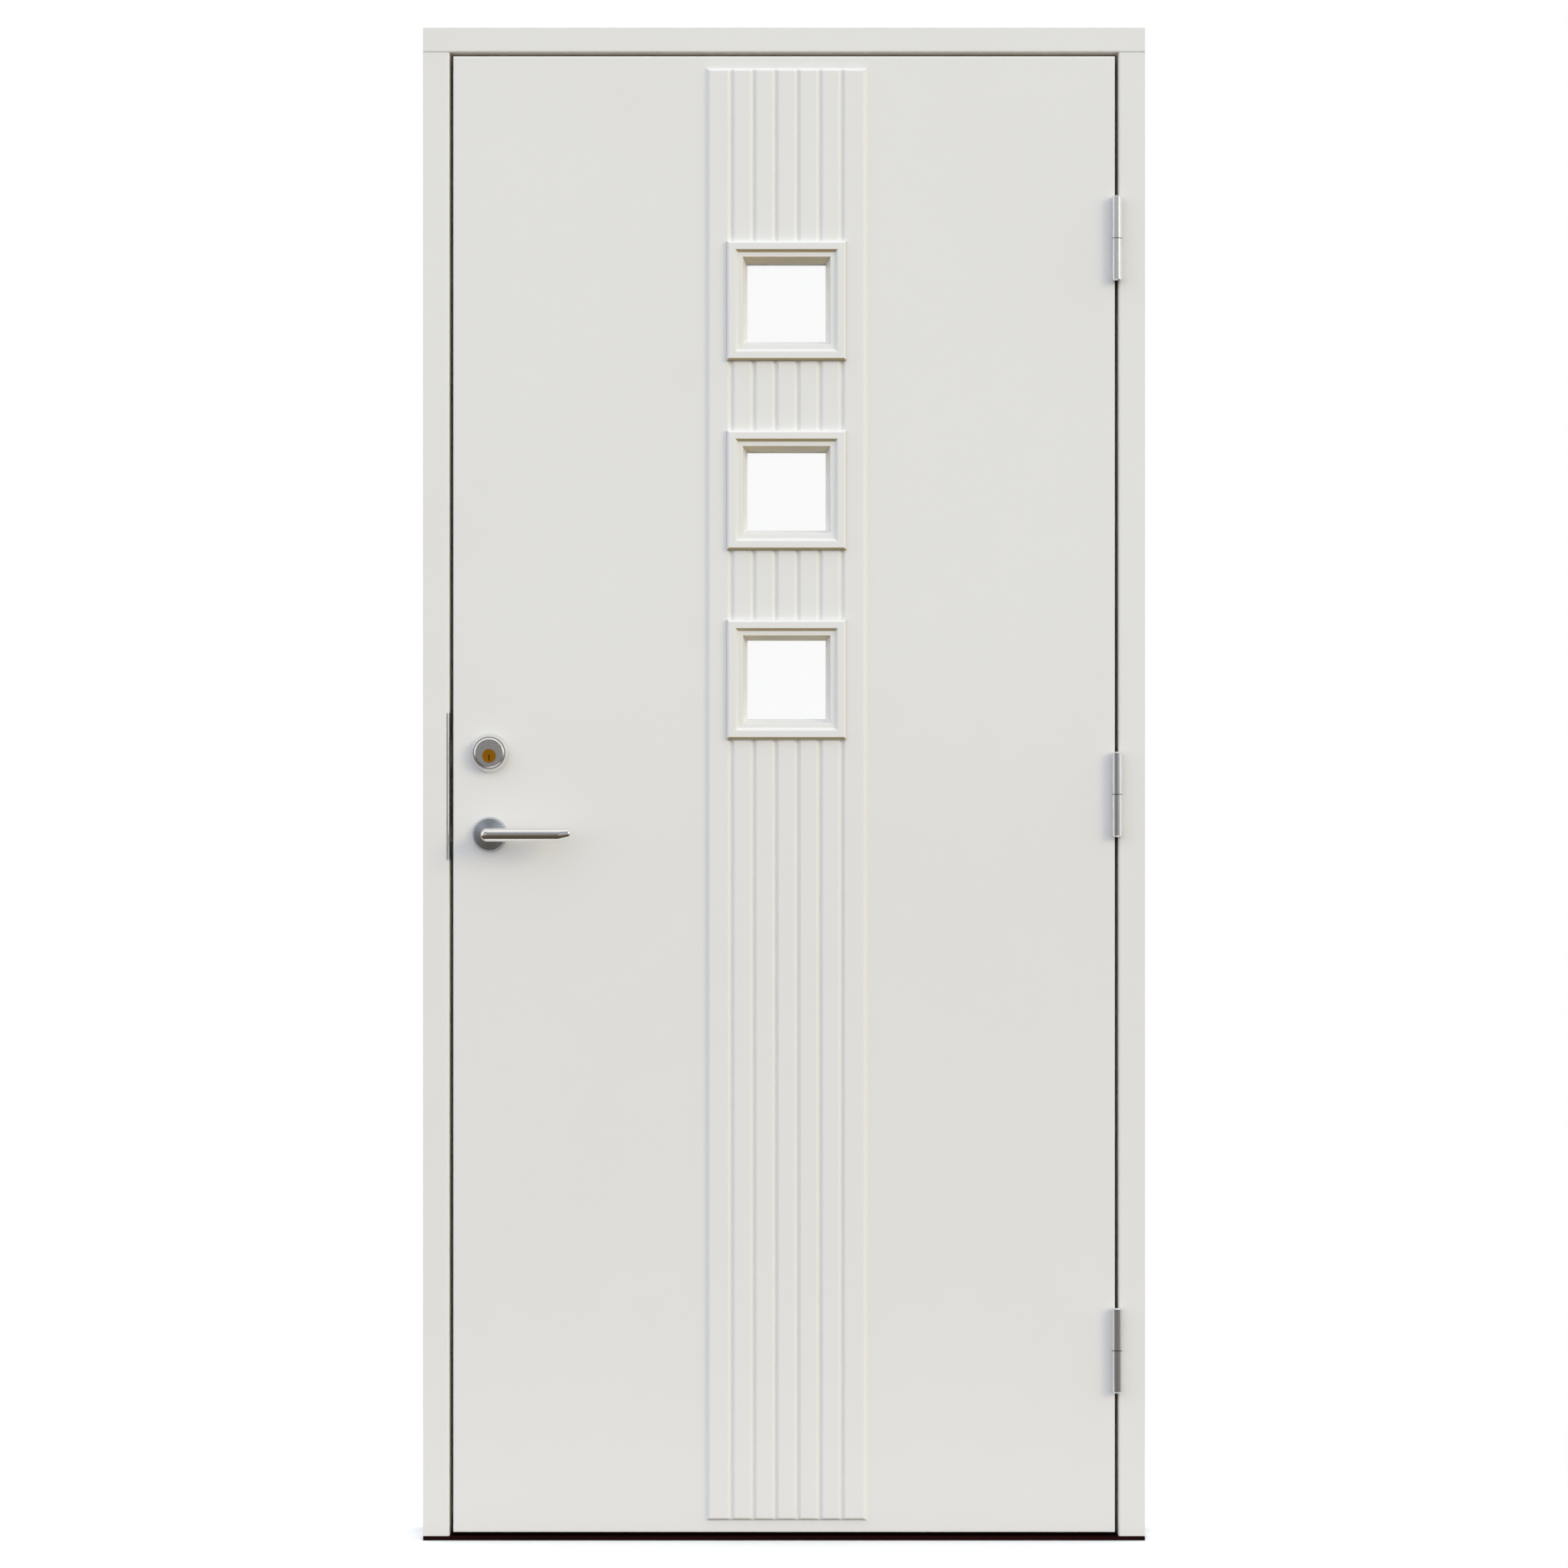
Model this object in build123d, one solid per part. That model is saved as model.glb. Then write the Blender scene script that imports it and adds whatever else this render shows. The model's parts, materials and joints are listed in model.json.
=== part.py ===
from build123d import *
from math import atan2, degrees
import os

# Entrance door that opens outwards, hung on the right as seen from outside.
# X runs to the viewer's right, Y into the house, Z up; all sizes in mm.
# The origin is the middle of the threshold's underside.

# frame
frame_width = 988.0
frame_height = 2070.0
frame_depth = 105.0
jamb_face = 36.2
head_face = 34.0
stop_overlap = 12.0
face_arris = 3.0
stop_arris = 1.5
fixing_radius = 5.0
fixing_end = 190.0
fixing_pitch = 560.0

# threshold
nose_height = 6.0
threshold_height = 25.0
threshold_arris = 2.0

# gaps that let the leaf swing
leaf_gap = 5.0
seal_gap = 5.0
seal_touch = 0.4

# seals
seal_width = 9.0
seal_stem_width = 3.0
seal_stem_depth = 6.0

# leaf
leaf_thick = 62.0
sheet = 4.0
leaf_arris = 1.8
lock_bevel = 3.0
lock_stile_width = 110.0
hinge_stile_width = 60.0
rail_height = 100.0

# fluted band on the outer face
band_offset = 3.5
band_width = 221.0
band_margin = 16.5
band_thick = 5.0
band_side_run = 5.0
band_end_run = 3.2
band_round = 3.0
groove_count = 6
groove_pitch = 30.2
groove_width = 9.0
groove_depth = 3.6
groove_round = 3.0

# lights in the band, counted down from the top of the leaf
light_names = ["top", "middle", "bottom"]
light_drop = 335.4
light_pitch = 258.8
glass_sight = 107.6
glass_edge = 8.0
glass_play = 3.0
pane_count = 3
pane = 4.0
pane_gap = 11.0
spacer_width = 6.0

# mouldings round the lights, from the sight line outwards
reveal_run = 6.0
reveal_depth = 26.0
inner_flat = 6.6
step_run = 3.4
step_depth = 4.5
outer_flat = 9.0
moulding_bevel = 2.6
moulding_proud = 7.0
lip_round = 1.2
moulding_play = 0.4
moulding_gap = 0.3
inner_setback = 3.0

# hinges, set in from both ends of the leaf
hinge_names = ["bottom", "middle", "top"]
hinge_inset = 250.2
knuckle_radius = 6.8
knuckle_length = 116.0
knuckle_split = 1.0
knuckle_arris = 1.6
axis_proud = 7.5
pin_radius = 4.0
pin_play = 0.3
pin_cover = 8.0
wing_thick = 2.5
wing_depth = 32.0
wing_height = 104.0

# lock
backset = 50.2
lever_z = 966.0
cylinder_rise = 111.5
collar_base_radius = 27.0
collar_front_radius = 22.3
collar_height = 13.0
face_base_radius = 20.6
face_radius = 18.7
face_proud = 1.5
plug_radius = 9.2
plug_drop = 4.0
plug_length = 24.0
plug_proud = 0.6
plug_play = 0.1
key_slot_width = 1.6
key_slot_height = 8.4
key_slot_drop = 2.2
key_slot_depth = 18.0
turn_length = 30.0
turn_width = 12.0
turn_height = 18.0
turn_taper = 4.0
turn_arris = 1.0
forend_length = 235.0
forend_width = 24.0
forend_thick = 3.0
forend_round = 5.0
bolt_thick = 11.0
latch_height = 16.0
dead_bolt_height = 32.0
bolt_depth = 25.0
strike_lift = 10.0
strike_length = 201.0
strike_depth = 34.0
strike_thick = 4.0
strike_pocket = 14.0
bolt_play = 3.0

# lever
rose_base_radius = 24.0
rose_front_radius = 21.4
rose_edge = 7.5
rose_height = 9.0
lever_radius = 9.0
lever_reach = 48.0
neck_radius = 8.5
lever_length = 113.4
tip_length = 16.0
tip_radius = 6.0
tip_lift = 2.2
tip_round = 4.8
neck_play = 0.4
spindle_side = 8.0
spindle_hole_radius = 11.0
spindle_seat = 24.0

# places that follow from the sizes
half_width = frame_width / 2
y_front = -frame_depth / 2
y_back = frame_depth / 2
y_leaf_back = y_front + leaf_thick
y_stop = y_leaf_back + seal_gap
y_core_front = y_front + sheet
y_core_back = y_leaf_back - sheet
y_band = y_front - band_thick
jamb_x = half_width - jamb_face
leaf_x = jamb_x - leaf_gap
stop_x = leaf_x - stop_overlap
head_z = frame_height - head_face
leaf_top = head_z - leaf_gap
leaf_bottom = nose_height + leaf_gap
head_stop_z = leaf_top - stop_overlap
hinge_x = leaf_x + leaf_gap / 2
hinge_y = y_front - axis_proud
hinge_zs = [leaf_bottom + hinge_inset, (leaf_bottom + leaf_top) / 2, leaf_top - hinge_inset]
light_zs = [leaf_top - light_drop - i * light_pitch for i in range(len(light_names))]
glass_size = glass_sight + 2 * glass_edge
light_hole = glass_size + 2 * glass_play
y_moulding = y_band - moulding_proud
y_glass = y_moulding + step_depth + reveal_depth
y_glass_back = y_glass + pane_count * pane + (pane_count - 1) * pane_gap
lever_x = -leaf_x + backset
cylinder_z = lever_z + cylinder_rise
strike_z = lever_z + cylinder_rise / 2 + strike_lift
y_bolt = (y_front + y_leaf_back) / 2 - sheet
on_base = (Align.CENTER, Align.CENTER, Align.MIN)
nodes = {}


def block(x0, x1, y0, y1, z0, z1):
    return Pos((x0 + x1) / 2, (y0 + y1) / 2, (z0 + z1) / 2) * Box(x1 - x0, y1 - y0, z1 - z0)


def outline(*points):
    return make_face(Polyline(*points, close=True))


def upright(points, z0, z1):
    return Pos(0, 0, z0) * extrude(outline(*points), amount=z1 - z0, dir=(0, 0, 1))


def facing(x, y, z, sign):
    return Plane(origin=(x, y, z), x_dir=(1, 0, 0), z_dir=(0, sign, 0))


def drill(x, z, radius):
    return Pos(x, 0, z) * Rot(90, 0, 0) * Cylinder(radius, 4 * frame_depth)


def edges_at(shape, axis, **place):
    found = shape.edges().filter_by(axis)
    for name, value in place.items():
        found = found.filter_by(lambda e, n=name, v=value: abs(getattr(e.center(), n) - v) < 0.01)
    return found


def corner(face, x, y):
    return face.vertices().sort_by_distance(Vector(x, y, 0))[0]


# seals: a stem in the stop and a round lip that meets the back of the leaf
def seal_run(start, along, length):
    half = seal_width / 2
    stem = seal_stem_width / 2
    lip = ThreePointArc((-half, 0), (0, seal_gap - seal_touch), (half, 0))
    foot = Polyline(
        (half, 0),
        (stem, 0),
        (stem, -seal_stem_depth),
        (-stem, -seal_stem_depth),
        (-stem, 0),
        (-half, 0),
    )
    section = make_face(Wire([*lip.edges(), *foot.edges()]))
    plane = Plane(origin=start, z_dir=along, x_dir=Vector(0, -1, 0).cross(Vector(*along)))
    return extrude(plane * section, amount=length, dir=along)


seal_x = leaf_x - stop_overlap / 2
seal_head_z = leaf_top - stop_overlap / 2
seal_low_z = (leaf_bottom + threshold_height) / 2
seal_from = seal_low_z + seal_width / 2
seal_height = seal_head_z + seal_width / 2 - seal_from
seal_head_length = 2 * seal_x - seal_width
seal_low_length = 2 * seal_x + seal_width
nodes["seal_hinge_side"] = seal_run((seal_x, y_stop, seal_from), (0, 0, 1), seal_height)
nodes["seal_lock_side"] = seal_run((-seal_x, y_stop, seal_from), (0, 0, 1), seal_height)
nodes["seal_head"] = seal_run((-seal_head_length / 2, y_stop, seal_head_z), (1, 0, 0), seal_head_length)
nodes["seal_threshold"] = seal_run((-seal_low_length / 2, y_stop, seal_low_z), (1, 0, 0), seal_low_length)

# threshold: low nose under the leaf and a raised stop behind it
threshold_section = outline(
    (0, y_front, 0),
    (0, y_front, nose_height),
    (0, y_stop, nose_height),
    (0, y_stop, threshold_height),
    (0, y_back, threshold_height),
    (0, y_back, 0),
)
threshold = Pos(-half_width, 0, 0) * extrude(threshold_section, amount=frame_width, dir=(1, 0, 0))


# jambs: one rebated profile, scribed over the threshold
def jamb(side):
    post = upright(
        [
            (side * half_width, y_front),
            (side * jamb_x, y_front),
            (side * jamb_x, y_stop),
            (side * stop_x, y_stop),
            (side * stop_x, y_back),
            (side * half_width, y_back),
        ],
        0,
        head_z,
    )
    post -= threshold
    post = fillet(edges_at(post, Axis.Z, X=side * jamb_x, Y=y_front), face_arris)
    post = fillet(edges_at(post, Axis.Z, X=side * stop_x), stop_arris)
    y_fixing = (y_stop + y_back) / 2
    fixing = Rot(0, 90, 0) * Cylinder(fixing_radius, 4 * jamb_face)
    for end in (fixing_end, fixing_end + fixing_pitch):
        for z in (end, frame_height - end):
            post -= Pos(side * half_width, y_fixing, z) * fixing
    return post


# head: runs over both jambs, its stop fits between theirs
head = block(-half_width, half_width, y_front, y_back, head_z, frame_height)
head += block(-stop_x, stop_x, y_stop, y_back, head_stop_z, head_z)
head = fillet(edges_at(head, Axis.X, Y=y_front, Z=head_z), face_arris)
head = fillet(edges_at(head, Axis.X, Z=head_stop_z), stop_arris)


# hinges: the frame half carries the pin, the leaf half is lifted on to it
def hinge(z):
    end = knuckle_length / 2
    gap = knuckle_split / 2
    wing = wing_height / 2
    barrel = end - gap
    pin_height = end - pin_cover
    lower = Pos(hinge_x, hinge_y, z - end) * Cylinder(knuckle_radius, barrel, align=on_base)
    upper = Pos(hinge_x, hinge_y, z + gap) * Cylinder(knuckle_radius, barrel, align=on_base)
    lower = chamfer(lower.edges().group_by(Axis.Z)[0], knuckle_arris)
    upper = chamfer(upper.edges().group_by(Axis.Z)[-1], knuckle_arris)
    jamb_wing = block(jamb_x, jamb_x + wing_thick, y_front, y_front + wing_depth, z - wing, z + wing)
    jamb_neck = block(jamb_x, jamb_x + wing_thick, hinge_y, y_front, z - wing, z - gap)
    pin = Pos(hinge_x, hinge_y, z - gap) * Cylinder(pin_radius, pin_height + gap, align=on_base)
    leaf_wing = block(leaf_x - wing_thick, leaf_x, y_front, y_front + wing_depth, z - wing, z + wing)
    leaf_neck = block(leaf_x - wing_thick, leaf_x, hinge_y, y_front, z + gap, z + wing)
    bore = Pos(hinge_x, hinge_y, z) * Cylinder(pin_radius + pin_play, pin_height + pin_play, align=on_base)
    return lower + jamb_neck + jamb_wing + pin, upper + leaf_neck + leaf_wing - bore


jamb_hinge_side = jamb(1)
jamb_lock_side = jamb(-1)
threshold_arrises = edges_at(threshold, Axis.X, Z=threshold_height)
threshold_arrises += edges_at(threshold, Axis.X, Y=y_front, Z=nose_height)
threshold = fillet(threshold_arrises, threshold_arris)
for seal in list(nodes.values()):
    jamb_hinge_side -= seal
    jamb_lock_side -= seal
    head -= seal
    threshold -= seal
leaf_hinges = []
for name, z in zip(hinge_names, hinge_zs):
    frame_half, leaf_half = hinge(z)
    jamb_hinge_side -= frame_half
    leaf_hinges.append(leaf_half)
    nodes["hinge_frame_half_" + name] = frame_half
    nodes["hinge_leaf_half_" + name] = leaf_half

# strike plate let into the lock-side jamb, with pockets for the latch and the dead bolt
strike_low = strike_z - strike_length / 2
strike = block(
    -jamb_x - strike_thick, -jamb_x, y_front, y_front + strike_depth, strike_low, strike_low + strike_length
)
strike = fillet(edges_at(strike, Axis.Z, X=-jamb_x, Y=y_front), face_arris)
jamb_lock_side -= strike
for z, height in ((lever_z, latch_height), (cylinder_z, dead_bolt_height)):
    pocket_half = height / 2 + bolt_play
    pocket_deep = bolt_thick / 2 + bolt_play
    pocket = block(
        -jamb_x - strike_pocket,
        -leaf_x,
        y_bolt - pocket_deep,
        y_bolt + pocket_deep,
        z - pocket_half,
        z + pocket_half,
    )
    strike -= pocket
    jamb_lock_side -= pocket
nodes["jamb_hinge_side"] = jamb_hinge_side
nodes["jamb_lock_side"] = jamb_lock_side
nodes["frame_head"] = head
nodes["threshold"] = threshold
nodes["strike_plate"] = strike


# leaf: timber edges round an insulating core, between two face sheets
def lock_edge_x(y):
    return -leaf_x + lock_bevel * (y - y_front) / leaf_thick


def bevelled_slab(x1, y0, y1):
    return upright([(lock_edge_x(y0), y0), (x1, y0), (x1, y1), (lock_edge_x(y1), y1)], leaf_bottom, leaf_top)


def light_cut(size, y0, y1, z):
    half = size / 2
    return block(band_offset - half, band_offset + half, y0, y1, z - half, z + half)


core_left = -leaf_x + lock_stile_width
core_right = leaf_x - hinge_stile_width
core_bottom = leaf_bottom + rail_height
core_top = leaf_top - rail_height
lock_stile = bevelled_slab(core_left, y_core_front, y_core_back)
hinge_stile = block(core_right, leaf_x, y_core_front, y_core_back, leaf_bottom, leaf_top)
nodes["rail_top"] = block(core_left, core_right, y_core_front, y_core_back, core_top, leaf_top)
nodes["rail_bottom"] = block(core_left, core_right, y_core_front, y_core_back, leaf_bottom, core_bottom)
core = block(core_left, core_right, y_core_front, y_core_back, core_bottom, core_top)
outer_sheet = bevelled_slab(leaf_x, y_front, y_core_front)
outer_sheet = fillet(outer_sheet.faces().sort_by(Axis.Y)[0].edges(), leaf_arris)
inner_sheet = bevelled_slab(leaf_x, y_core_back, y_leaf_back)
inner_sheet = fillet(inner_sheet.faces().sort_by(Axis.Y)[-1].edges(), leaf_arris)

# fluted band: slab with sloped sides and ends, and rounded V grooves that run out at both ends
band_half = band_width / 2
band_low = leaf_bottom + band_margin
band_high = leaf_top - band_margin
band = upright(
    [
        (band_offset - band_half, y_front),
        (band_offset + band_half, y_front),
        (band_offset + band_half - band_side_run, y_band),
        (band_offset - band_half + band_side_run, y_band),
    ],
    band_low,
    band_high,
)
band_side = outline(
    (0, y_front, band_low),
    (0, y_front, band_high),
    (0, y_band, band_high - band_end_run),
    (0, y_band, band_low + band_end_run),
)
band &= Pos(band_offset - band_half, 0, 0) * extrude(band_side, amount=band_width, dir=(1, 0, 0))
band = fillet(band.faces().sort_by(Axis.Y)[0].edges(), band_round)
groove_xs = [band_offset + (i - (groove_count - 1) / 2) * groove_pitch for i in range(groove_count)]
for x in groove_xs:
    wall = groove_width / 2
    groove = [(x - wall, y_band), (x, y_band + groove_depth), (x + wall, y_band)]
    band -= upright(groove, leaf_bottom, leaf_top)
shoulders = [edges_at(band, Axis.Z, X=x + wall * side, Y=y_band) for x in groove_xs for side in (-1, 1)]
band = fillet([edge for found in shoulders for edge in found], groove_round)
moulding_size = glass_sight + 2 * (reveal_run + inner_flat + step_run + outer_flat + moulding_bevel)
for z in light_zs:
    hole = light_cut(light_hole, y_front, y_leaf_back, z)
    band -= light_cut(moulding_size + 2 * moulding_gap, y_band, y_front, z)
    outer_sheet -= hole
    inner_sheet -= hole
    core -= hole


# mouldings: one stepped profile swept round the square light with mitred corners;
# the outer ones stand in the band, the inner ones on the inner sheet
def moulding(y_seat, y_face, y_pane, z, sight):
    out = 1 if y_seat < y_pane else -1
    lip = sight + reveal_run
    step = lip + inner_flat
    face = step + step_run
    edge = moulding_size / 2
    neck = light_hole / 2 - moulding_play
    y_step = y_face + out * step_depth
    section = outline(
        (edge, y_seat),
        (edge, y_face),
        (face, y_face),
        (step, y_step),
        (lip, y_step),
        (sight, y_pane),
        (neck, y_pane),
        (neck, y_seat),
    )
    section = chamfer(corner(section, edge, y_face), moulding_bevel)
    soft = ((edge - moulding_bevel, y_face), (face, y_face), (step, y_step), (lip, y_step))
    section = fillet([corner(section, *p) for p in soft], lip_round)
    square = Polyline((edge, 0, -edge), (edge, 0, edge), (-edge, 0, edge), (-edge, 0, -edge), close=True)
    return Pos(band_offset, 0, z) * sweep(section, path=square, transition=Transition.RIGHT)


sight = glass_sight / 2
inner_sight = sight + inner_setback
y_inner = y_leaf_back + moulding_proud
spacers = []
for name, z in zip(light_names, light_zs):
    nodes["moulding_outer_" + name] = moulding(y_front, y_moulding, y_glass, z, sight)
    nodes["moulding_inner_" + name] = moulding(y_leaf_back, y_inner, y_glass_back, z, inner_sight)
    panes = []
    for i in range(pane_count):
        y = y_glass + i * (pane + pane_gap)
        panes.append(light_cut(glass_size, y, y + pane, z))
        if i:
            gap = light_cut(glass_size, y - pane_gap, y, z)
            spacers.append(gap - light_cut(glass_size - 2 * spacer_width, y - pane_gap, y, z))
    nodes["glass_" + name] = Compound(panes)
nodes["glass_spacers"] = Compound(spacers)

# lock: fore-end and drawn-back bolts in the bevelled edge
edge_lean = degrees(atan2(lock_bevel, leaf_thick))
lock_edge = Plane(
    origin=(lock_edge_x(y_bolt), y_bolt, strike_z),
    x_dir=Vector(0, 1, 0).rotate(Axis.Z, -edge_lean),
    z_dir=Vector(-1, 0, 0).rotate(Axis.Z, -edge_lean),
)
forend_face = RectangleRounded(forend_width, forend_length, forend_round)
forend = extrude(lock_edge * forend_face, amount=-forend_thick)
lock_stile -= forend
for name, z, height in (("latch_bolt", lever_z, latch_height), ("dead_bolt", cylinder_z, dead_bolt_height)):
    bolt = Pos(0, 0, z - strike_z) * extrude(lock_edge * Rectangle(bolt_thick, height), amount=-bolt_depth)
    forend -= bolt
    lock_stile -= bolt
    nodes[name] = bolt
nodes["lock_forend"] = forend


# round furniture: each rose and collar is one profile of radii and heights, turned about its axis
def turned(y, z, sign, *profile):
    body = revolve(outline(*profile), axis=Axis.Y)
    return Pos(lever_x, y, z) * Rot(0, 0, 90 - 90 * sign) * body


def rose(y, z, sign, bore):
    return turned(
        y,
        z,
        sign,
        (bore, 0),
        (rose_base_radius, 0),
        (rose_front_radius, rose_edge),
        (bore, rose_height),
    )


rose_bore = neck_radius + neck_play
nodes["lever_rose_outer"] = rose(y_front, lever_z, -1, rose_bore)
nodes["lever_rose_inner"] = rose(y_leaf_back, lever_z, 1, rose_bore)
collar = turned(
    y_front,
    cylinder_z,
    -1,
    (0, 0),
    (collar_base_radius, 0),
    (collar_front_radius, collar_height),
    (face_base_radius, collar_height),
    (face_radius, collar_height + face_proud),
    (0, collar_height + face_proud),
)
y_face = y_front - collar_height - face_proud
plug_plane = facing(lever_x, y_face - plug_proud, cylinder_z - plug_drop, 1)
plug = plug_plane * Cylinder(plug_radius, plug_length, align=on_base)
plug_seat = plug_plane * Cylinder(plug_radius + plug_play, plug_length, align=on_base)
collar -= plug_seat
outer_sheet -= plug_seat
lock_stile -= plug_seat
key_slot = Box(key_slot_width, key_slot_height, key_slot_depth, align=on_base)
nodes["cylinder_plug"] = plug - Pos(0, 0, -key_slot_drop) * (plug_plane * key_slot)
nodes["cylinder_collar"] = collar
turn_plane = facing(lever_x, y_leaf_back + rose_edge, cylinder_z, 1)
turn_rise = turn_height + rose_height - rose_edge
turn_grip = SlotOverall(turn_length, turn_width, rotation=90)
turn = extrude(turn_plane * turn_grip, amount=turn_rise, taper=turn_taper)
nodes["thumb_turn_rose"] = rose(y_leaf_back, cylinder_z, 1, 0) - turn
nodes["thumb_turn"] = chamfer(turn.faces().sort_by(Axis.Y)[-1].edges(), turn_arris)


# levers: a round neck meets the level bar in a ball corner, and the bar ends in an oblique taper
def lever(y, sign):
    y_bar = y + sign * lever_reach
    y_root = y + sign * neck_play
    neck_length = lever_reach - neck_play
    bar_length = lever_length - tip_length
    neck = facing(lever_x, y_root, lever_z, sign) * Cylinder(neck_radius, neck_length, align=on_base)
    ball = Pos(lever_x, y_bar, lever_z) * Sphere(lever_radius)
    axis = Plane(origin=(lever_x, y_bar, lever_z), x_dir=(0, 0, 1), z_dir=(1, 0, 0))
    bar = axis * Cylinder(lever_radius, bar_length, align=on_base)
    tip_root = axis.offset(bar_length)
    tip_end = axis.offset(lever_length) * Pos(tip_lift, 0)
    tip = loft([tip_root * Circle(lever_radius), tip_end * Circle(tip_radius)])
    tip = fillet(tip.edges().sort_by(Axis.X)[-1], tip_round)
    return neck + ball + bar + tip


spindle_half = spindle_side / 2
spindle = block(
    lever_x - spindle_half,
    lever_x + spindle_half,
    y_front - spindle_seat,
    y_leaf_back + spindle_seat,
    lever_z - spindle_half,
    lever_z + spindle_half,
)
nodes["spindle"] = spindle
nodes["lever_outer"] = lever(y_front, -1) - spindle
nodes["lever_inner"] = lever(y_leaf_back, 1) - spindle
spindle_hole = drill(lever_x, lever_z, spindle_hole_radius)
for half in leaf_hinges:
    hinge_stile -= half
    outer_sheet -= half
nodes["stile_lock_side"] = lock_stile - spindle_hole
nodes["stile_hinge_side"] = hinge_stile
nodes["core"] = core
nodes["face_sheet_outer"] = outer_sheet - spindle_hole
nodes["face_sheet_inner"] = inner_sheet - spindle_hole
nodes["fluted_band"] = band

os.makedirs("parts", exist_ok=True)
for name, shape in nodes.items():
    export_step(shape, f"parts/{name}.step")
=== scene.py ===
import bmesh
import bpy
import json
import math
from mathutils import Matrix, Vector


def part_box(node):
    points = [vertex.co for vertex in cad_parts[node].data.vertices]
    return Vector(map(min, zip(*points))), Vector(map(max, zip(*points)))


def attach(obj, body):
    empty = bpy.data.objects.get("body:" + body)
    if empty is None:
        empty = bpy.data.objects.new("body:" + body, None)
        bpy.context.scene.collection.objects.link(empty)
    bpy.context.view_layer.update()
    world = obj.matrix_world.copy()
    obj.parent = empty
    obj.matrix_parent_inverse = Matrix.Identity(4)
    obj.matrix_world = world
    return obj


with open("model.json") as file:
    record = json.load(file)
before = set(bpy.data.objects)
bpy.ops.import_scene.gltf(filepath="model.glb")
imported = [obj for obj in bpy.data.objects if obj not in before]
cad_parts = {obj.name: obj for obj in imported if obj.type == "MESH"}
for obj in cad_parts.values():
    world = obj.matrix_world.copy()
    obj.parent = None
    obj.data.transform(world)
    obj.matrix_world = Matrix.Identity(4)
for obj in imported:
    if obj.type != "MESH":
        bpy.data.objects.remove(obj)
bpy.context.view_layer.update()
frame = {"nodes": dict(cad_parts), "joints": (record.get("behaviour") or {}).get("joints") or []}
nodes = frame["nodes"]
scene = bpy.context.scene
scene.view_settings.view_transform = "Standard"
levels = ("top", "middle", "bottom")  # of the lights, and of the hinges
print("frame loaded:", len(nodes), "nodes")


class Value:  # a socket, so that shader maths reads as Python
    def __init__(self, tree, socket):
        self.tree = tree
        self.socket = socket

    def math(self, operation, first, second=0.0):
        return self.tree.node("ShaderNodeMath", {"operation": operation}, {0: first, 1: second})

    def __add__(self, other):
        return self.math("ADD", self, other)

    def __rsub__(self, other):
        return self.math("SUBTRACT", other, self)

    def __sub__(self, other):
        return self.math("SUBTRACT", self, other)

    def __mul__(self, other):
        return self.math("MULTIPLY", self, other)

    def __pow__(self, other):
        return self.math("POWER", self, other)

    def __abs__(self):
        return self.math("ABSOLUTE", self)

    __radd__ = __add__
    __rmul__ = __mul__


class NodeTree:  # the nodes of one material or of the world
    def __init__(self, tree):
        self.tree = tree
        tree.nodes.clear()

    def node(self, kind, settings=None, inputs=None, output=0):
        made = self.tree.nodes.new(kind)
        for name, value in (settings or {}).items():
            if name == "stops":
                ramp = made.color_ramp.elements
                while len(ramp) < len(value):
                    ramp.new(1.0)
                for stop, (place, colour) in zip(ramp, value):
                    stop.position = place
                    stop.color = (*colour, 1.0)
            else:
                setattr(made, name, value)
        for name, value in (inputs or {}).items():
            if isinstance(value, Value):
                self.tree.links.new(value.socket, made.inputs[name])
            else:
                made.inputs[name].default_value = value
        return Value(self, made.outputs[output]) if made.outputs else None

    def place(self):  # metres in the object's own frame
        return self.node("ShaderNodeTexCoord", output="Object")

    def axes(self, vector):
        split = self.node("ShaderNodeSeparateXYZ", inputs={0: vector})
        return [Value(self, socket) for socket in split.socket.node.outputs]

    def noise(self, scale, detail, stretch=(1, 1, 1), place=None):
        moved = self.node("ShaderNodeMapping", inputs={"Vector": place or self.place(), "Scale": stretch})
        return self.node("ShaderNodeTexNoise", inputs={"Vector": moved, "Scale": scale, "Detail": detail})

    def ramp(self, stops, factor):
        return self.node("ShaderNodeValToRGB", {"stops": stops}, {0: factor})

    def between(self, value, low, high, toLow=0.0, toHigh=1.0):  # a clamped ramp
        return self.node(
            "ShaderNodeMapRange",
            {"interpolation_type": "SMOOTHSTEP"},
            {0: value, 1: low, 2: high, 3: toLow, 4: toHigh},
        )

    def mix(self, factor, first, second):
        return self.node("ShaderNodeMix", {"data_type": "RGBA"}, {0: factor, 6: first, 7: second}, 2)

    def bump(self, height, distance, strength, below=None):
        inputs = {"Height": height, "Distance": distance, "Strength": strength}
        if below:
            inputs["Normal"] = below
        return self.node("ShaderNodeBump", inputs=inputs)

    def skin(self, inputs):
        return self.node("ShaderNodeBsdfPrincipled", inputs=inputs)

    def surface(self, shader, kind="ShaderNodeOutputMaterial"):
        self.node(kind, inputs={"Surface": shader})


def finish(name):
    material = bpy.data.materials.new(name)
    material.use_nodes = True
    return material, NodeTree(material.node_tree)


srgb = {"top": 255, "offset": 0.055, "power": 2.4}


def shade(*colour):  # sRGB bytes to a linear colour
    linear = [(c / srgb["top"] + srgb["offset"]) / (1 + srgb["offset"]) for c in colour]
    return tuple(v ** srgb["power"] for v in linear) + (1.0,)


def dress(material, *names):
    for name in names:
        slots = nodes[name].data.materials
        slots.clear()
        slots.append(material)


def named(start):
    return [name for name in nodes if name.startswith(start)]


def middleOf(name):
    low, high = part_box(name)
    return (low + high) / 2


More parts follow.
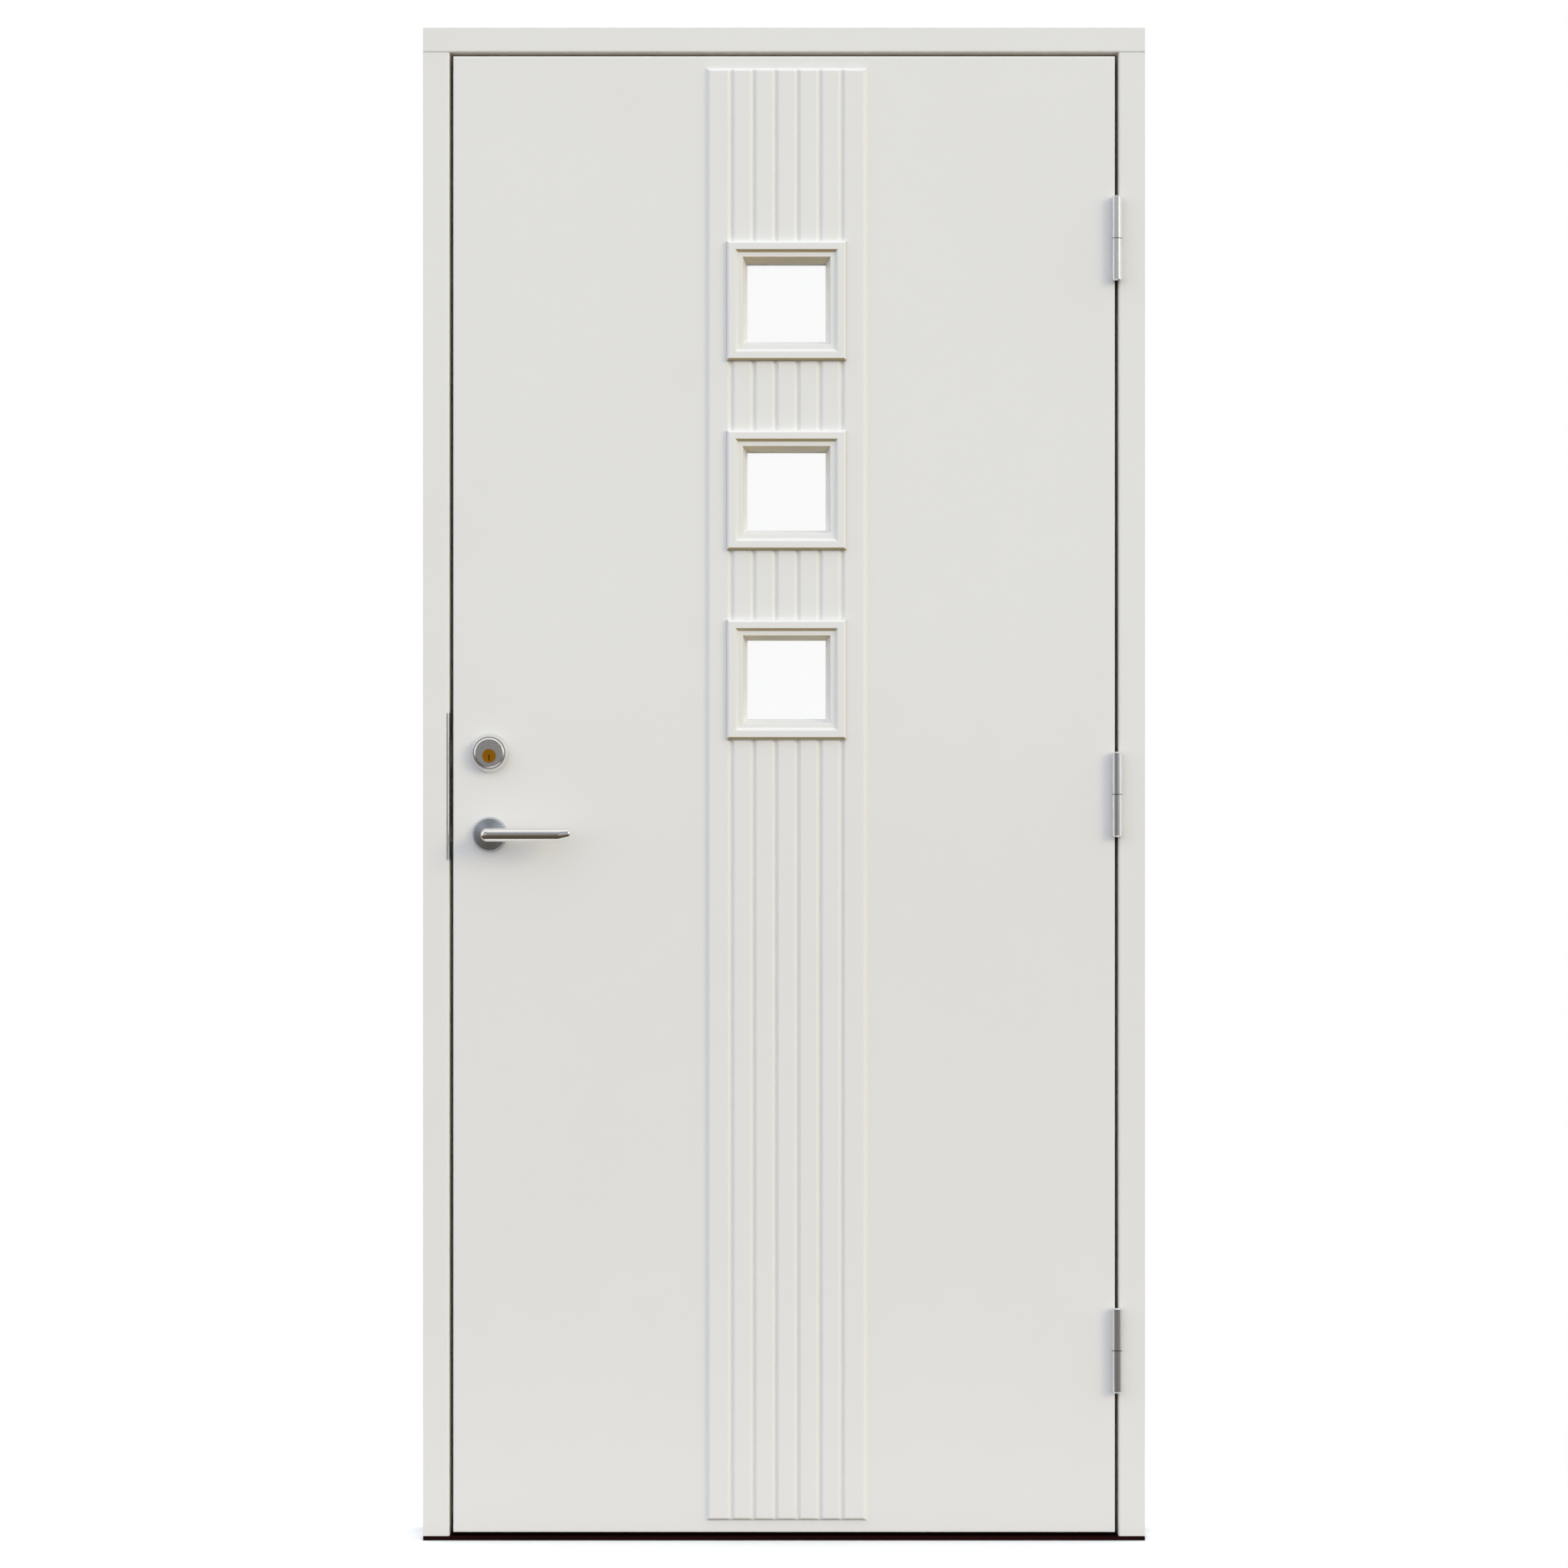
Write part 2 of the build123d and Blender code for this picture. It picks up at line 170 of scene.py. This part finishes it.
whitePaint = {
    "upper": shade(227, 227, 225),
    "lower": shade(226, 225, 223),
    "turn": (0.9, 1.3),  # heights between which the tone shifts
    "cloud": shade(223, 222, 219),
    "cloudNoise": (3.0, 4.0),  # scale and detail, as for every noise here
    "cloudSpan": (0.45, 0.8),
    "cloudShare": 0.35,
    # painted light: the mouldings' reveals are painted paler, standing in for light the deep recess lacks
    "paintedRevealLight": shade(244, 243, 240),
    "paintedRevealLightDepth": (-0.06, -0.046),  # where the painted light in the mouldings' reveals begins
    "under": shade(190, 174, 130),  # painted shadow: a dark olive tone on the mouldings' downward-facing edges, where shade falls
    # painted shade: a warm tone on the downward-facing soffits deep in the reveals
    "paintedSoffitShade": shade(244, 232, 200),
    "paintedSoffitShadeDepth": (-0.0605, -0.059),
    "underTurn": (-0.2, -0.6),
    "paintedRebateLight": shade(251, 248, 240),  # painted light: paler, warmer paint on edges that only the gap round the leaf shows, to lift the shade in the gap
    "rebateDepth": (-0.051, -0.046),
    "rebateBack": (0.0152, 0.0148),
    "rebateSide": (0.4595, 0.4585),
    "rebateTop": (2.0375, 2.0365),
    "rough": (0.36, 0.46),
    "roughNoise": (18.0, 3.0),
    "roughSpan": (0.3, 0.7),
    "peel": (0.00006, 0.5),  # depth and strength of a bump
    "peelNoise": (140.0, 2.0),
    "stipple": (0.00002, 0.5),
    "stippleNoise": (900.0, 1.0),
    "grain": (0.00005, 0.4),
    "grainNoise": (1.0, 4.0),
    "postGrain": (220, 220, 7),
    "headGrain": (7, 220, 220),
    "ior": 1.45,
}


def paintedFinish(name, grain=None, paintedRevealLightAndShade=False):
    paint = whitePaint
    material, tree = finish(name)
    aside, depth, height = tree.axes(tree.place())
    tone = tree.mix(tree.between(height, *paint["turn"]), paint["lower"], paint["upper"])
    if grain:
        # painted light: the rebate faces inside the gap round the leaf are painted paler
        paintedRebateLightMask = tree.between(abs(aside), *paint["rebateSide"])
        paintedRebateLightMask *= tree.between(height, *paint["rebateTop"])
        paintedRebateLightMask *= tree.between(depth, *paint["rebateDepth"])
        paintedRebateLightMask *= tree.between(depth, *paint["rebateBack"])
        tone = tree.mix(paintedRebateLightMask, tone, paint["paintedRebateLight"])
    # painted light in the mouldings' reveals, and painted shadow on their downward-facing faces
    if paintedRevealLightAndShade:
        tone = tree.mix(tree.between(depth, *paint["paintedRevealLightDepth"]), tone, paint["paintedRevealLight"])
        # painted shadow: faces that point downwards turn to the painted shadow and soffit tones
        facing = tree.axes(tree.node("ShaderNodeTexCoord", output="Normal"))[2]
        under = tree.mix(tree.between(depth, *paint["paintedSoffitShadeDepth"]), paint["under"], paint["paintedSoffitShade"])
        tone = tree.mix(tree.between(facing, *paint["underTurn"]), tone, under)
    cloud = tree.between(tree.noise(*paint["cloudNoise"]), *paint["cloudSpan"])
    tone = tree.mix(cloud * paint["cloudShare"], tone, paint["cloud"])
    relief = tree.bump(tree.noise(*paint["peelNoise"]), *paint["peel"])
    relief = tree.bump(tree.noise(*paint["stippleNoise"]), *paint["stipple"], relief)
    if grain:
        relief = tree.bump(tree.noise(*paint["grainNoise"], grain), *paint["grain"], relief)
    rough = tree.between(tree.noise(*paint["roughNoise"]), *paint["roughSpan"], *paint["rough"])
    tree.surface(tree.skin({"Base Color": tone, "Roughness": rough, "Normal": relief, "IOR": paint["ior"]}))
    return material


paintedSheet = paintedFinish("painted_sheet")
paintedPost = paintedFinish("painted_post", whitePaint["postGrain"])
paintedHead = paintedFinish("painted_head", whitePaint["headGrain"])
dress(paintedSheet, "face_sheet_outer", "face_sheet_inner", "fluted_band", *named("moulding_inner_"))
dress(paintedFinish("painted_moulding", paintedRevealLightAndShade=True), *named("moulding_outer_"))
dress(paintedPost, "jamb_hinge_side", "jamb_lock_side", "stile_lock_side", "stile_hinge_side")
dress(paintedHead, "frame_head", "rail_top", "rail_bottom")
print("paint done")

hardwood = {
    "dark": shade(16, 0, 0),
    "light": shade(33, 3, 3),
    "grain": (5, 260, 260),
    "grainNoise": (1.0, 6.0),
    "drift": (0.4, 3, 3),
    "driftNoise": (4.0, 3.0),
    "driftShare": 0.3,
    "figureSpan": (0.35, 0.68),
    "rough": (0.7, 0.5),
    "roughSpan": (0.3, 0.7),
    "sheen": 0.05,
    "pores": (0.00015, 0.6),
}


def hardwoodFinish():
    material, tree = finish("dark_hardwood")
    share = hardwood["driftShare"]
    drift = tree.noise(*hardwood["driftNoise"], hardwood["drift"])
    grain = tree.noise(*hardwood["grainNoise"], hardwood["grain"])
    figure = tree.between(grain * (1 - share) + drift * share, *hardwood["figureSpan"])
    tree.surface(
        tree.skin(
            {
                "Base Color": tree.mix(figure, hardwood["dark"], hardwood["light"]),
                "Roughness": tree.between(grain, *hardwood["roughSpan"], *hardwood["rough"]),
                "Normal": tree.bump(grain, *hardwood["pores"]),
                "Specular IOR Level": hardwood["sheen"],
            }
        )
    )
    return material


dress(hardwoodFinish(), "threshold")

rubber = {
    "dark": shade(18, 18, 18),
    "bloom": shade(34, 33, 32),
    "bloomNoise": (35.0, 4.0),
    "bloomSpan": (0.4, 0.7),
    "rough": (0.5, 0.72),
    "roughSpan": (0.3, 0.7),
    "skin": (0.00008, 0.5),
    "skinNoise": (1200.0, 2.0),
}


def rubberFinish():
    material, tree = finish("seal_rubber")
    bloom = tree.between(tree.noise(*rubber["bloomNoise"]), *rubber["bloomSpan"])
    skin = tree.noise(*rubber["skinNoise"])
    tree.surface(
        tree.skin(
            {
                "Base Color": tree.mix(bloom, rubber["dark"], rubber["bloom"]),
                "Roughness": tree.between(skin, *rubber["roughSpan"], *rubber["rough"]),
                "Normal": tree.bump(skin, *rubber["skin"]),
            }
        )
    )
    return material


rubberSkin = rubberFinish()
dress(rubberSkin, *named("seal_"))

brushed = {  # what all brushed metals share
    "brushNoise": (1.0, 3.0),
    "smudgeDetail": 3.0,
    "wearSpan": (0.35, 0.7),
    "more": 0.6,
    "less": 0.4,
    "roughSpan": (0.2, 0.8),
    "strength": 0.35,
}


def brushedFinish(name, look):  # metal with fine scratches along one axis
    material, tree = finish(name)
    more, less = brushed["more"], brushed["less"]
    brush = tree.noise(*brushed["brushNoise"], look["brush"])
    wear = tree.between(tree.noise(look["smudge"], brushed["smudgeDetail"]), *brushed["wearSpan"])
    tree.surface(
        tree.skin(
            {
                "Base Color": tree.mix(wear * more + brush * less, look["bright"], look["dull"]),
                "Metallic": look["metal"],
                "Roughness": tree.between(brush * more + wear * less, *brushed["roughSpan"], *look["rough"]),
                "Normal": tree.bump(brush, look["depth"], brushed["strength"]),
            }
        )
    )
    return material


hingeSteel = {
    "metal": 1.0,
    "bright": shade(238, 240, 244),
    "dull": shade(228, 230, 235),
    "brush": (1500, 1500, 3),
    "smudge": 12.0,
    "rough": (0.17, 0.21),
    "depth": 0.000001,
}
lockSteel = {
    "metal": 1.0,
    "bright": shade(236, 237, 236),
    "dull": shade(214, 215, 215),
    "brush": (1400, 1400, 10),
    "smudge": 25.0,
    "rough": (0.26, 0.4),
    "depth": 0.00001,
}
leverMetal = {
    "metal": 1.0,
    "bright": shade(246, 245, 243),
    "dull": shade(238, 237, 234),
    "brush": (12, 1800, 1800),
    "smudge": 40.0,
    "rough": (0.13, 0.17),
    "depth": 0.000002,
}
spacerMetal = {
    "metal": 0.25,
    "bright": shade(242, 242, 240),
    "dull": shade(230, 230, 228),
    "brush": (90, 900, 90),
    "smudge": 60.0,
    "rough": (0.3, 0.5),
    "depth": 0.00002,
}
hingeFinish = brushedFinish("hinge_steel", hingeSteel)
lockFinish = brushedFinish("lock_steel", lockSteel)
leverFinish = brushedFinish("lever_metal", leverMetal)
dress(hingeFinish, *named("hinge_"))
dress(lockFinish, "strike_plate", "lock_forend", "latch_bolt", "dead_bolt")
dress(leverFinish, "lever_outer", "lever_inner", "spindle", "thumb_turn")
dress(brushedFinish("spacer_metal", spacerMetal), "glass_spacers")

turned = {  # what all turned metals share
    "ringDetail": 2.0,
    "smudgeNoise": (60.0, 3.0),
    "ringShare": 0.6,
    "smudgeShare": 0.4,
    "roughSpan": (0.25, 0.75),
    "strength": 0.4,
}
collarMetal = {
    "bright": shade(244, 245, 246),
    "dull": shade(230, 231, 233),
    "rings": 2600.0,
    "rough": (0.2, 0.3),
    "depth": 0.000012,
}
roseMetal = {**collarMetal, "bright": shade(204, 210, 218), "dull": shade(190, 196, 204)}
brass = {
    "bright": shade(236, 170, 40),
    "dull": shade(220, 146, 26),
    "rings": 3200.0,
    "rough": (0.24, 0.36),
    "depth": 0.00001,
}


def turnedFinish(name, look, middle):  # metal turned on a lathe: rings about the piece's middle
    material, tree = finish(name)
    x, y, z = tree.axes(tree.place())
    radius = ((x - middle.x) ** 2 + (z - middle.z) ** 2) ** 0.5
    across = tree.node("ShaderNodeCombineXYZ", inputs={0: radius, 1: y})
    rings = tree.noise(look["rings"], turned["ringDetail"], place=across)
    smudge = tree.noise(*turned["smudgeNoise"])
    worn = rings * turned["ringShare"] + smudge * turned["smudgeShare"]
    tree.surface(
        tree.skin(
            {
                "Base Color": tree.mix(worn, look["bright"], look["dull"]),
                "Metallic": 1.0,
                "Roughness": tree.between((rings + smudge) * 0.5, *turned["roughSpan"], *look["rough"]),
                "Normal": tree.bump(rings, look["depth"], turned["strength"]),
            }
        )
    )
    return material


for piece, look in (
    ("cylinder_collar", collarMetal),
    ("thumb_turn_rose", collarMetal),
    ("lever_rose_outer", roseMetal),
    ("lever_rose_inner", roseMetal),
):
    dress(turnedFinish("turned_" + piece, look, middleOf(piece)), piece)
dress(turnedFinish("brass", brass, middleOf("cylinder_plug")), "cylinder_plug")

glass = {
    "tint": (0.985, 0.987, 0.986, 1.0),
    "ior": 1.2,
    "rough": (0.0, 0.02),
    "filmNoise": (14.0, 4.0),
    "filmSpan": (0.5, 0.8),
}


def glassFinish():
    material, tree = finish("clear_glass")
    film = tree.noise(*glass["filmNoise"])
    tree.surface(
        tree.skin(
            {
                "Base Color": glass["tint"],
                "Roughness": tree.between(film, *glass["filmSpan"], *glass["rough"]),
                "Transmission Weight": 1.0,
                "IOR": glass["ior"],
            }
        )
    )
    return material


lights = ["glass_" + level for level in levels]
dress(glassFinish(), *lights)


def sweepRing(mesh, outline, profile, spot):  # the profile's radii and reaches carried round an outline
    loops = [
        [mesh.verts.new(spot(across * radius, up * radius, reach)) for across, up in outline]
        for radius, reach in profile
    ]
    for i, loop in enumerate(loops):
        for k in range(len(outline)):
            mesh.faces.new((loops[i - 1][k - 1], loops[i - 1][k], loop[k], loop[k - 1]))


def addPiece(name, mesh, material, body, stand=None):  # a new piece that rides on a body
    bmesh.ops.recalc_face_normals(mesh, faces=mesh.faces)
    data = bpy.data.meshes.new(name)
    mesh.to_mesh(data)
    mesh.free()
    data.materials.append(material)
    piece = bpy.data.objects.new(name, data)
    scene.collection.objects.link(piece)
    if stand is not None:
        piece.matrix_world = stand
    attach(piece, body)


lining = {"thick": 0.001, "spacer": 0.006, "pane": 0.004, "gap": 0.011, "play": 0.0003, "rows": 2}
# the lining's tone is partly painted shade: darker and warmer than the spacers, for the shade line along the
# panes' edges
liningWithPaintedShade = {
    "metal": 0.0,
    "bright": shade(222, 216, 205),
    "dull": shade(206, 199, 187),
    "brush": (90, 900, 90),
    "smudge": 60.0,
    "rough": (0.6, 0.8),
    "depth": 0.00004,
}


def lineSpacers():  # a strip round the inside of each spacer; its warm, dull tone is partly the spacer's own face and partly painted shade along the panes' edges
    mesh = bmesh.new()
    square = [(-1, -1), (1, -1), (1, 1), (-1, 1)]
    for light in lights:
        low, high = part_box(light)
        middle = middleOf(light)
        outer = (high.x - low.x) / 2 - lining["spacer"]
        inner = outer - lining["thick"]
        for row in range(lining["rows"]):
            front = low.y + lining["pane"] + lining["play"] + row * (lining["pane"] + lining["gap"])
            back = front + lining["gap"] - 2 * lining["play"]
            profile = [(outer, front), (outer, back), (inner, back), (inner, front)]
            sweepRing(mesh, square, profile, lambda x, z, y: (middle.x + x, y, middle.z + z))
    addPiece("spacer_lining", mesh, brushedFinish("spacer_lining", liningWithPaintedShade), "leaf")


lineSpacers()

foam = {
    "pale": shade(226, 218, 190),
    "deep": shade(196, 184, 150),
    "cell": 420.0,
    "relief": (0.0006, 0.5),
    "rough": 0.9,
}


def foamFinish():
    material, tree = finish("insulation")
    cells = tree.node("ShaderNodeTexVoronoi", inputs={"Vector": tree.place(), "Scale": foam["cell"]})
    tree.surface(
        tree.skin(
            {
                "Base Color": tree.mix(cells, foam["deep"], foam["pale"]),
                "Roughness": foam["rough"],
                "Normal": tree.bump(cells, *foam["relief"]),
            }
        )
    )
    return material


dress(foamFinish(), "core")
print("metals, glass and core done")

screw = {
    "radius": 0.0042,
    "sides": 28,
    "proud": 0.0003,
    "sink": 0.0012,
    "footShare": 0.8,  # of the head's radius
    "cross": 0.0027,
    "arm": 0.0006,
    "deep": 0.0011,
    "floorShare": 0.7,  # of the recess at its mouth
}


def circlePoints(count):
    turns = [2 * math.pi * i / count for i in range(count)]
    return [(math.cos(turn), math.sin(turn)) for turn in turns]


def screwHead():  # countersunk head with a cross recess
    mesh = bmesh.new()
    radius, proud, share = screw["radius"], screw["proud"], screw["footShare"]
    rim = [mesh.verts.new((radius * x, radius * y, proud)) for x, y in circlePoints(screw["sides"])]
    foot = [mesh.verts.new((v.co.x * share, v.co.y * share, -screw["sink"])) for v in rim]
    arm, reach = screw["arm"], screw["cross"]
    corner = [(reach, -arm), (reach, arm), (arm, arm)]
    cross = []
    for quarter in range(4):
        spin = Matrix.Rotation(quarter * math.pi / 2, 3, "Z")
        cross += [spin @ Vector((x, y, proud)) for x, y in corner]
    lip = [mesh.verts.new(p) for p in cross]
    share = screw["floorShare"]
    floor = [mesh.verts.new((p.x * share, p.y * share, p.z - screw["deep"])) for p in cross]
    edges = []
    for loop in (rim, lip):
        edges += [mesh.edges.new((loop[i - 1], loop[i])) for i in range(len(loop))]
    bmesh.ops.triangle_fill(mesh, use_beauty=True, edges=edges, normal=(0, 0, 1))
    for top, under in ((rim, foot), (lip, floor)):
        for i in range(len(top)):
            mesh.faces.new((top[i - 1], under[i - 1], under[i], top[i]))
    mesh.faces.new(floor)
    return mesh


def fixWith(body, material, name, place, normal, turn):
    aim = Vector(normal).to_track_quat("Z", "Y").to_matrix().to_4x4()
    stand = Matrix.Translation(place) @ aim @ Matrix.Rotation(turn, 4, "Z")
    addPiece(name, screwHead(), material, body, stand)


def hingeSpan(level):
    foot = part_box("hinge_frame_half_" + level)[0].z
    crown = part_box("hinge_leaf_half_" + level)[1].z
    return foot, crown


hingeScrews = {"offsets": (-0.038, 0.0, 0.038), "setBack": 0.018, "turn": 0.4, "turnStep": 0.7}
pin = Vector(next(j for j in frame["joints"] if j["name"] == "leaf_swing")["pos_m"])
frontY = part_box("face_sheet_outer")[0].y
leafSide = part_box("stile_hinge_side")[1].x
jambSide = 2 * pin.x - leafSide  # the pin stands in the middle of the gap


def fixHinges():
    y = frontY + hingeScrews["setBack"]
    for level in levels:
        middle = sum(hingeSpan(level)) / 2
        for body, x, side in (("frame", jambSide, -1), ("leaf", leafSide, 1)):
            for i, offset in enumerate(hingeScrews["offsets"]):
                name = "hinge_screw_%s_%s_%d" % (body, level, i + 1)
                turn = hingeScrews["turn"] + hingeScrews["turnStep"] * i
                fixWith(body, hingeFinish, name, (x, y, middle + offset), (side, 0, 0), turn)


fixHinges()

washer = {"outer": 0.00695, "inner": 0.0052, "height": 0.0009, "points": 48}


def fitWashers():  # the dark bearing ring between a hinge's knuckles
    circle = circlePoints(washer["points"])
    outer, inner = washer["outer"], washer["inner"]
    for level in levels:
        low = (sum(hingeSpan(level)) - washer["height"]) / 2
        high = low + washer["height"]
        mesh = bmesh.new()
        profile = [(outer, low), (outer, high), (inner, high), (inner, low)]
        sweepRing(mesh, circle, profile, lambda x, y, z: (pin.x + x, pin.y + y, z))
        addPiece("hinge_washer_" + level, mesh, rubberSkin, "frame")


fitWashers()

lockScrews = {
    "lean": math.atan2(3, 62),  # of the leaf's lock edge
    "inset": 0.013,
    "boltDepth": 0.025,
    "strikeBack": 0.022,
    "forendTurn": 0.3,
    "strikeTurn": 0.9,
}


def fixEnds(plate, body, label, place, normal, turn):  # a screw near each end of a plate
    low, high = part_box(plate)
    for i, z in enumerate((low.z + lockScrews["inset"], high.z - lockScrews["inset"])):
        name = "%s_screw_%d" % (label, i + 1)
        fixWith(body, lockFinish, name, (*place, z), normal, turn + i)


def fixLock():
    lean = lockScrews["lean"]
    out = Vector((-math.cos(lean), math.sin(lean), 0))
    edge = middleOf("latch_bolt") + out * lockScrews["boltDepth"] / 2
    fixEnds("lock_forend", "leaf", "forend", edge.xy, out, lockScrews["forendTurn"])
    strike = (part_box("strike_plate")[1].x, frontY + lockScrews["strikeBack"])
    fixEnds("strike_plate", "frame", "strike", strike, (1, 0, 0), lockScrews["strikeTurn"])


fixLock()
print("screws done")

studio = {
    "light": [
        (0.0, (0.06, 0.03, 0.0)),
        (0.36, (0.17, 0.115, 0.04)),
        (0.46, (0.66, 0.63, 0.57)),
        (0.52, (1.54, 1.63, 1.81)),
        (0.7, (1.45, 1.55, 1.74)),
        (1.0, (0.86, 0.91, 1.0)),
    ],
    "gloss": [
        (0.0, (0.075, 0.052, 0.034)),
        (0.25, (0.1, 0.075, 0.052)),
        (0.43, (0.19, 0.168, 0.145)),
        (0.49, (0.2, 0.185, 0.165)),
        (0.52, (0.228, 0.226, 0.22)),
        (0.55, (0.66, 0.68, 0.72)),
        (0.59, (0.82, 0.85, 0.9)),
        (0.63, (0.27, 0.28, 0.305)),
        (0.8, (0.25, 0.265, 0.29)),
        (0.92, (0.6, 0.63, 0.68)),
        (0.97, (1.0, 1.0, 1.0)),
    ],
    "glossLean": 0.06,  # lifts what is mirrored on the right
    "calm": [  # what the lock side mirrors
        (0.0, (0.075, 0.052, 0.034)),
        (0.25, (0.1, 0.075, 0.052)),
        (0.43, (0.13, 0.106, 0.08)),
        (0.49, (0.16, 0.135, 0.108)),
        (0.505, (0.188, 0.168, 0.146)),
        (0.56, (0.205, 0.19, 0.172)),
        (0.66, (0.25, 0.25, 0.255)),
        (0.8, (0.31, 0.32, 0.34)),
        (0.9, (0.62, 0.65, 0.7)),
        (0.96, (1.0, 1.0, 1.0)),
    ],
    "calmAim": 0.08,  # how far to the left the lock side's mirrored rays go
    "calmReach": (0.07, 0.14),
    "wallSide": (0.5, 0.12),  # pale walls to the left and right
    "wallFoot": (-0.25, 0.0),
    "white": (1.0, 1.0, 1.0, 1.0),
    "sunAim": (0.737, -0.59, 0.33),  # towards the lamp, from the shadows of hinge and lever
    "sunPower": 0.9,
    "backAim": (-0.5, 0.8, 0.33),  # warms the inner face
    "backPower": 0.4,
    "sunSoft": 20.0,
    "sunTint": (1.0, 0.82, 0.38),
}


def rayKind(tree, kind):
    return tree.node("ShaderNodeLightPath", output="Is %s Ray" % kind)


def seenDirectly(tree):  # 1 for camera, mirror and see-through rays
    camera, mirror, through = [rayKind(tree, kind) for kind in ("Camera", "Glossy", "Transmission")]
    return camera.math("MAXIMUM", camera.math("MAXIMUM", camera, mirror), through)


def lightStudio():
    world = bpy.data.worlds.new("studio")
    scene.world = world
    world.use_nodes = True
    tree = NodeTree(world.node_tree)
    x, y, z = tree.axes(tree.node("ShaderNodeTexCoord", output="Generated"))
    climb = z * 0.5 + 0.5
    light = tree.ramp(studio["light"], climb)
    gloss = tree.ramp(studio["gloss"], climb + x * studio["glossLean"])
    calm = tree.ramp(studio["calm"], climb)
    aside = tree.between(abs(x + studio["calmAim"]), *studio["calmReach"])
    walls = tree.between(abs(y), *studio["wallSide"]) * tree.between(z, *studio["wallFoot"])
    mirrored = tree.mix(walls, tree.mix(aside, calm, gloss), studio["white"])
    mirror = rayKind(tree, "Glossy") * (1 - rayKind(tree, "Transmission"))
    seen = tree.mix(mirror, studio["white"], mirrored)
    colour = tree.mix(seenDirectly(tree), light, seen)
    background = tree.node("ShaderNodeBackground", inputs={"Color": colour, "Strength": 1.0})
    tree.surface(background, "ShaderNodeOutputWorld")
    for name, aim, power in (("key", "sunAim", "sunPower"), ("rim", "backAim", "backPower")):
        lamp = bpy.data.lights.new(name, "SUN")
        lamp.energy = studio[power]
        lamp.angle = math.radians(studio["sunSoft"])
        lamp.color = studio["sunTint"]
        lit = bpy.data.objects.new(name, lamp)
        lit.rotation_euler = Vector(studio[aim]).to_track_quat("Z", "Y").to_euler()
        scene.collection.objects.link(lit)


lightStudio()

ground = {
    "radius": 1.3,
    "segments": 96,
    "fade": (0.75, 1.25),
    "frontShare": 0.4,  # how far the floor runs before the door, against the back
    "frontTurn": (-0.02, 0.02),
    "place": (0.0, 0.05, -0.0002),
    "pale": shade(252, 252, 251),
    "warm": (0.19, 0.15, 0.09, 1.0),  # what the floor sends back up on to the door
    "rough": 0.9,
    "grit": (0.0002, 0.2),
    "gritNoise": (300.0, 2.0),
}


def floorFinish():
    material, tree = finish("floor")
    x, y = tree.axes(tree.place())[:2]
    stretch = tree.between(y, *ground["frontTurn"], 1 / ground["frontShare"], 1.0)
    away = (x ** 2 + (y * stretch) ** 2) ** 0.5
    grit = tree.bump(tree.noise(*ground["gritNoise"]), *ground["grit"])
    pale, warm = [
        tree.skin({"Base Color": ground[tone], "Roughness": ground["rough"], "Normal": grit})
        for tone in ("pale", "warm")
    ]
    body = tree.node("ShaderNodeMixShader", inputs={0: seenDirectly(tree), 1: warm, 2: pale})
    clear = tree.node("ShaderNodeBsdfTransparent")
    fade = tree.between(away, *ground["fade"])
    tree.surface(tree.node("ShaderNodeMixShader", inputs={0: fade, 1: body, 2: clear}))
    return material


def layFloor():
    mesh = bmesh.new()
    bmesh.ops.create_circle(mesh, cap_ends=True, segments=ground["segments"], radius=ground["radius"])
    data = bpy.data.meshes.new("floor")
    mesh.to_mesh(data)
    mesh.free()
    data.materials.append(floorFinish())
    floor = bpy.data.objects.new("floor", data)
    floor.location = ground["place"]
    scene.collection.objects.link(floor)


layFloor()

view = {"place": (0.0, -5.4525, 1.0351), "tilt": 90.0, "lens": 90.6, "sensor": 36.0}


def setCamera():
    data = bpy.data.cameras.new("camera")
    data.lens = view["lens"]
    data.sensor_width = view["sensor"]
    camera = bpy.data.objects.new("camera", data)
    camera.location = view["place"]
    camera.rotation_euler = (math.radians(view["tilt"]), 0, 0)
    scene.collection.objects.link(camera)
    scene.camera = camera


setCamera()
print("light, floor and camera done")
